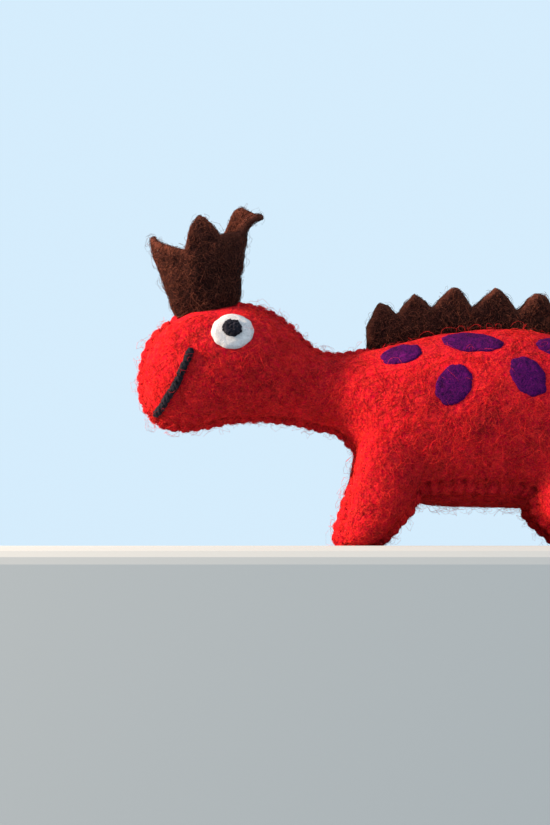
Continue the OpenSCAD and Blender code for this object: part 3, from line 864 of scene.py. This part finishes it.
def crown_place(angle, height):
    """The middle of the crown's felt at an angle round it and a distance up the felt."""
    a = math.radians(angle)
    rise = min(height, 26)
    rx, ry = 9.3 + 0.24 * rise, 6.2 + 0.27 * rise
    s = CROWN_FOOT[0] - 0.12 * rise + rx * math.cos(a)
    y = ry * math.sin(a)
    z = (CROWN_FOOT[1] + 0.24 * rx * math.cos(a) * (1 - 0.4 * rise / 26)
         - 2.6 * abs(math.sin(a)) * (1 - rise / 26)) + height
    near = max(0.0, -math.sin(a))
    if near > 0.3 and height > 17 and angle < 300:
        over = height - 17
        y += 0.035 * over ** 2 * (near - 0.3) / 0.7
        z -= 0.01 * over ** 2
        s += 0.006 * over ** 2
    turned = (angle + 180) % 360 - 180
    if height > CURL_FROM and -30 < turned < 70:
        share = np.interp(turned, [-30, 0, 15, 42, 70], [0.3, 0.85, 0.85, 0.12, 0])
        curl = (height - CURL_FROM) / CURL_R
        out = CURL_R * (1 - math.cos(curl)) * share
        s += out
        y -= out * 0.3
        z += (CURL_R * math.sin(curl) - (height - CURL_FROM)) * share
    return np.array(spot_at(s, y, z))


def crown_height(angle):
    """Height of the felt's edge at an angle."""
    angle = (angle + 25) % 360 - 25
    return float(np.interp(angle, [e[0] for e in CROWN_EDGE], [e[1] for e in CROWN_EDGE]))


def make_crown():
    columns, rows = 144, 22
    angles = [j * 360 / columns for j in range(columns)]
    middle = np.array([[crown_place(angle, crown_height(angle) * i / (rows - 1)) for angle in angles]
                       for i in range(rows)])
    along = np.gradient(middle, axis=0)
    around = np.roll(middle, -1, axis=1) - np.roll(middle, 1, axis=1)
    outward = unit(np.cross(around, along))
    for _ in range(3):
        outward = unit(outward + 0.5 * (np.roll(outward, 1, axis=1) + np.roll(outward, -1, axis=1)))
    bumpy = rumple(middle.reshape(-1, 3), 180, 0.7 * MM, 5.0).reshape(rows, columns, 1)
    bumpy += rumple(middle.reshape(-1, 3), 520, 0.3 * MM, 8.0).reshape(rows, columns, 1)
    middle = middle + outward * bumpy
    up = unit(along)
    half = FELT / 2 * (1 - 0.42 * np.linspace(0, 1, rows) ** 5)[:, None, None]
    outer, inner = middle + outward * half, middle - outward * half
    thin, full = half[-1], half[0]
    round_top = [middle[-1] + outward[-1] * thin * 0.75 + up[-1] * thin * 0.45,
                 middle[-1] + up[-1] * thin * 0.62,
                 middle[-1] - outward[-1] * thin * 0.75 + up[-1] * thin * 0.45]
    round_foot = [middle[0] - outward[0] * full * 0.6 - up[0] * full * 0.5,
                  middle[0] + outward[0] * full * 0.6 - up[0] * full * 0.5]
    grid = np.concatenate([outer, np.array(round_top), inner[::-1], np.array(round_foot)])
    n = len(grid)
    i, j = (k.ravel() for k in np.meshgrid(np.arange(n), np.arange(columns), indexing="ij"))
    a, b = (i + 1) % n, (j + 1) % columns
    faces = np.stack([i * columns + j, i * columns + b, a * columns + b, a * columns + j], 1)
    crown = new_object("crown_felt", grid.reshape(-1, 3), [list(map(int, f)) for f in faces], BROWN)
    # Painted highlight along the crown's cut top edge.
    lit_rim_band = np.clip((np.arange(rows) / (rows - 1) - 0.88) / 0.12, 0, 1)
    worn = np.concatenate([lit_rim_band, [1, 1, 1], lit_rim_band[::-1], [0, 0]])
    mark(crown, "worn", np.repeat(worn, columns))
    # Painted shade: darker towards the crown's foot.
    low = np.clip(0.7 - np.arange(rows) / (rows - 1), 0, 0.6)
    mark(crown, "pit_and_painted_shade", np.repeat(np.concatenate([low, [0, 0, 0], low[::-1], [0.6, 0.6]]), columns))
    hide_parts("crown")
    ride(crown, "head")
    return crown


crown = make_crown()

# ---------------- the crest
# The crest's edge, from the side: behind the snout, height
TEETH = [(77.4, 67), (77.4, 74.5), (79.6, 78.8), (81.7, 82.8), (84.8, 81.6), (87.6, 78.5), (90.4, 82.5),
         (93.5, 85.6), (96.5, 83.8), (99.3, 80.7), (102.7, 84.4), (106.1, 87.8), (108.5, 87.5), (110.7, 84.4),
         (112.9, 81), (116.3, 83.8), (120.6, 87.6), (123, 86.8), (125.5, 83.8), (128, 79.8), (131, 83.1),
         (134.4, 85.9), (137.8, 85), (141.4, 78.8), (144.2, 81.4), (147, 83.8), (149, 83.2), (151.4, 78.6),
         (153.4, 75.2), (155.6, 76), (157.4, 76.2), (158.8, 73), (159.2, 66)]
TAIL_TEETH = [(163.5, 66), (165, 69.6), (168, 73.2), (170.2, 73.6), (173, 69.4), (176, 67), (179, 69.6),
              (182, 71.4), (184, 71.2), (186.5, 67), (189, 63.6), (192, 65.8), (195, 67.4), (197, 67.2),
              (199.5, 63.4), (202, 60.6), (205, 62.4), (207.4, 63.8), (209.4, 63.4), (211.6, 60), (214, 57.6),
              (217, 59), (219.4, 60.2), (221.4, 59.6), (223.4, 57), (225, 54)]
EDGE_R = 2.6        # over how many millimetres the felt rounds off towards its cut edge
CREST_STEP = 0.35   # from one section of the crest to the next, in millimetres


def make_crest(name, edge, thick):
    """A strip of doubled felt that stands on the back seam, cut in teeth along its top."""
    edge = np.array(edge, float)
    s = np.arange(edge[0, 0], edge[-1, 0], CREST_STEP)
    top = np.interp(s, edge[:, 0], edge[:, 1])
    for _ in range(2):
        top[1:-1] = 0.5 * top[1:-1] + 0.25 * (top[:-2] + top[2:])
    hits = [skin_tree.ray_cast(Vector((at(x), 0, 0.2)), Vector((0, 0, -1)))[0] for x in s]
    foot = np.minimum([hit[2] / MM - 1.6 for hit in hits], top - 0.5)
    rows = 18
    share = 1 - (1 - np.linspace(0, 1, rows)) ** 1.6
    wave = rumple(np.stack([s * MM, s * 0, s * 0], 1), 60, 1.6, 7.0)
    ends = np.where(np.arange(len(s)) < len(s) / 2, s[0], s[-1])
    outline = tree_of([(x, z, 0) for x, z in [*zip(s, top), *zip(ends, foot + (top - foot) * 0.5)]])
    rings, worn = [], []
    for x, low, high, bend in zip(s, foot, top, wave):
        height = low + (high - low) * share
        away = np.array([outline.find((x, z, 0))[2] for z in height])
        away = np.minimum(away, min(x - s[0], s[-1] - x) + 0.05)
        inside = np.clip(away / EDGE_R, 0, 1)
        half = np.maximum(thick / 2 * np.sqrt(1 - (1 - inside) ** 2), 0.12)
        drift = bend * share
        near, far = (np.stack([np.full(rows, at(x)), (drift + y) * MM, height * MM], 1) for y in (-half, half))
        rings.append(np.vstack([near, far[::-1]]))
        # Painted highlight along the crest's cut edge, away from its foot.
        lit_edge_band = np.clip(1.15 - away / 2.0, 0, 1) * (share > 0.3)
        worn.append(np.concatenate([lit_edge_band, lit_edge_band[::-1]]))
    rings = np.array(rings)
    flat = rings.reshape(-1, 3)
    flat[:, 1] += rumple(flat, 240, 0.35 * MM, 2.0) + rumple(flat, 700, 0.2 * MM, 6.0)
    flat[:, 2] += rumple(flat, 300, 0.35 * MM, 4.0)
    crest = new_object(name, *loft(rings), BROWN)
    mark(crest, "worn", np.ravel(worn))
    # Painted shade: darker towards the crest's foot.
    low = np.clip(0.75 - 1.1 * share, 0, 0.7)
    mark(crest, "pit_and_painted_shade", np.tile(np.concatenate([low, low[::-1]]), len(rings)))
    area = float(((top - foot) * CREST_STEP).sum()) * 1.15e-6     # 15% more, for its lumps
    width, height = (s[-1] - s[0]) * MM, (top.max() - foot.min()) * MM
    return crest, width, height, area


crests = []
for name, edge, thick, region in [("back_crest", TEETH, 5.6, "body"), ("tail_crest", TAIL_TEETH, 4.6, "tail")]:
    crest, width, height, area = make_crest(f"{name}_felt", edge, thick)
    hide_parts(name)
    follow(crest, region)
    crests.append((crest, region))

# ---------------- the hand pocket

def stadium(grow, count=72):
    """Points of the pocket's outline in y and z, grown by so much."""
    turn = full_turn(count)
    y = np.cos(turn) * (pocket_r + grow) + np.sign(np.cos(turn)) * pocket_side
    return np.stack([y, pocket_z + np.sin(turn) * (pocket_r + grow)], 1)


def mouth_x(y, z):
    hit = skin_tree.ray_cast(Vector((0.2, y, z)), Vector((-1, 0, 0)))[0]
    return hit[0] if hit else at(157)


hem_path = np.array([(mouth_x(y, z) - 0.2 * MM, y, z) for y, z in stadium(1.2 * MM, 180)])
hem_path[:, 0] = np.minimum(hem_path[:, 0], at(169.5))
for _ in range(8):
    hem_path[:, 0] = 0.5 * hem_path[:, 0] + 0.25 * (np.roll(hem_path[:, 0], 1) + np.roll(hem_path[:, 0], -1))

inner = []
for x in np.linspace(at(156.5), at(100), 26):
    ring = stadium(-1.0 * MM)
    ring = np.column_stack([np.full(len(ring), x), ring])
    ring[:, 1:] += rumple(ring, 110, 0.7 * MM, 4.0)[:, None] * np.sign(ring[:, 1:] - [0, pocket_z])
    inner.append(ring)
inner[0][:, 0] = np.interp(np.arange(72) * 2.5, np.arange(180), hem_path[:, 0]) - 0.6 * MM
inner.append(np.array(inner[-1]) * [1, 0.6, 1] + [-1.4 * MM, 0, 0])
inner[-1][:, 2] = pocket_z + (inner[-1][:, 2] - pocket_z) * 0.6
inner = np.array(inner)
outer_rings = inner.copy()
outer_rings[:, :, 1] *= 1.05
outer_rings[:, :, 2] = pocket_z + (outer_rings[:, :, 2] - pocket_z) * 1.07
outer_rings[-1, :, 0] -= 0.8 * MM
grid = np.concatenate([inner[::-1], outer_rings])
rows, columns, _ = grid.shape
faces = [list(f) for f in grid_faces(rows, columns)]
faces += [list(range(columns - 1, -1, -1)), [(rows - 1) * columns + j for j in range(columns)]]
faces = [f[::-1] for f in faces]
pocket = new_object("pocket_lining", grid.reshape(-1, 3), faces, LINING)
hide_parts("hand_pocket")
ride(pocket, "torso")

closed = np.vstack([hem_path, hem_path[:2]])
swell = 1.7 * MM * (1 + 0.08 * np.sin(np.arange(len(closed)) * 0.9))
hem = new_object("pocket_hem_roll", *tubes([closed], [swell], 14), RED)
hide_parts("pocket_hem")
ride(hem, "torso")
hem_stitches = []
for k in range(0, 180, 8):
    p = hem_path[k]
    away = unit(np.array([0, p[1] - np.clip(p[1], -pocket_side, pocket_side), p[2] - pocket_z]))
    arc = np.linspace(-0.1 * math.pi, 1.1 * math.pi, 10)
    loop = p + np.outer(np.cos(arc) * 1.95 * MM, away) + np.outer(np.sin(arc) * 1.95 * MM, [1, 0, 0])
    hem_stitches.append(tubes([loop], [np.full(10, 0.36 * MM)], 6))
hem_thread = new_object("pocket_hem_thread", *join(hem_stitches), RED_THREAD)
ride(hem_thread, "torso")

# ---------------- loose fibres

def fibre_paths(tree, points, faces, count, length, raised, curl, keep=None):
    """Curling paths that start at random places on a surface and wander over it."""
    corners = corners_of(faces)
    if keep is not None:
        corners = corners[keep]
    a, b, c, d = (points[corners[:, k]] for k in range(4))
    area = np.linalg.norm(np.cross(c - a, d - b), axis=1)
    chosen = random.choice(len(corners), count, p=area / area.sum())
    u, v = random.random((2, count, 1))
    a, b, c, d = a[chosen], b[chosen], c[chosen], d[chosen]
    start = (1 - u) * (1 - v) * a + u * (1 - v) * b + u * v * c + (1 - u) * v * d
    steps = 6
    paths = np.empty((count, steps, 3))
    spans = length * (0.5 + random.random(count)) / (steps - 1)
    bends = (random.random(count) - 0.5) * curl
    lifts = raised * random.random(count) ** 2.2
    for k in range(count):
        place, normal, _, _ = tree.find_nearest(Vector(start[k]))
        side = Vector(random.normal(size=3)).cross(normal).normalized()
        low = (0.02 + 0.12 * random.random()) * MM
        for i in range(steps):
            high = low + lifts[k] * math.sin(math.pi * (0.12 + 0.8 * i / (steps - 1)))
            paths[k, i] = place + normal * high
            side = Quaternion(normal, bends[k] + 0.25 * math.sin(k + i)) @ side
            place, normal, _, _ = tree.find_nearest(place + side * spans[k])
            side = (side - normal * side.dot(normal)).normalized()
    return paths


def grow(name, surface, count, length, raised, thick, used, curl, region=None, keep=None):
    """Closed three-sided fibres, in millimetres, in one set of pieces for each region; with the head's region
    given, they ride with the head.
    """
    count = int(count * AMOUNT)
    paths = fibre_paths(*surface, count, length * MM, raised * MM, curl, keep)
    paths[:, :, 2] = np.maximum(paths[:, :, 2], 0.15 * MM)
    if name.startswith("red"):
        clear = np.array([all(is_clear(p) for p in path[::2]) for path in paths])
        paths, count = paths[clear], int(clear.sum())
    radii = thick * MM * (0.6 + 0.7 * random.random((count, 1))) * np.array([[0.55, 1, 1, 0.95, 0.8, 0.35]])
    found = regions(paths[:, 0])
    for place in dict.fromkeys(found):
        chosen = np.where(found == place)[0]
        for part, first in enumerate(range(0, len(chosen), FIBRES_EACH)):
            some = chosen[first:first + FIBRES_EACH]
            piece = new_object(f"{name}_{place}_{part + 1}", *tubes(paths[some], radii[some], 3), used)
            if region == "head":
                ride(piece, "head")
            else:
                follow(piece, region or place)


def is_clear(point):
    """Whether a place on the skin lies clear of the patches, and well clear of the crest and the crown."""
    _, nearest, gap = patches.find(point)
    return gap > (0.8 if nearest < CREST_FROM else 2.4) * MM


def surface_of(piece):
    points = points_of(piece.data)
    faces = [list(f.vertices) for f in piece.data.polygons if len(f.vertices) <= 4]
    return search_tree(points, faces), points, faces


FIBRES_EACH = 6000
AMOUNT = 1.0
patch_points = np.vstack([points_of(piece.data) for piece in spots + eyes])
CREST_FROM = len(patch_points)
patch_points = np.vstack([patch_points, points_of(crown.data)] + [points_of(crest.data) for crest, _ in crests])
patches = tree_of(patch_points)
outside = ~in_mouth & (face_middles[:, 2] > 1.0 * MM)
felt_skin = (skin_tree, skin_points, skin_faces)
grow("red_matted_fibre", felt_skin, 15000, 6.5, 0.45, 0.062, RED_FIBRE, 1.1, keep=outside)
grow("red_loose_fibre", felt_skin, 6500, 6, 3.4, 0.036, RED_FIBRE, 1.8, keep=outside)
for label, count, raised, thick in (("matted", 2600, 0.5, 0.07), ("loose", 700, 2.6, 0.04)):
    grow(f"crown_{label}_fibre", surface_of(crown), count, 5.5, raised, thick, BROWN_FIBRE, 1.6, "head")
for spot in spots:
    grow(f"{spot.name}_fibre", surface_of(spot), 260, 4, 0.9, 0.06, PURPLE_FIBRE, 1.8, "body")
for eye in eyes:
    grow(f"{eye.name}_fibre", surface_of(eye), 320, 4, 0.9, 0.06, WHITE, 1.8, "head")
for crest, region in crests:
    for label, count, raised, thick in (("matted", 1500, 0.45, 0.07), ("loose", 400, 2.0, 0.04)):
        grow(f"{crest.name}_{label}_fibre", surface_of(crest), count, 4.5, raised, thick, BROWN_FIBRE, 1.6,
             region)
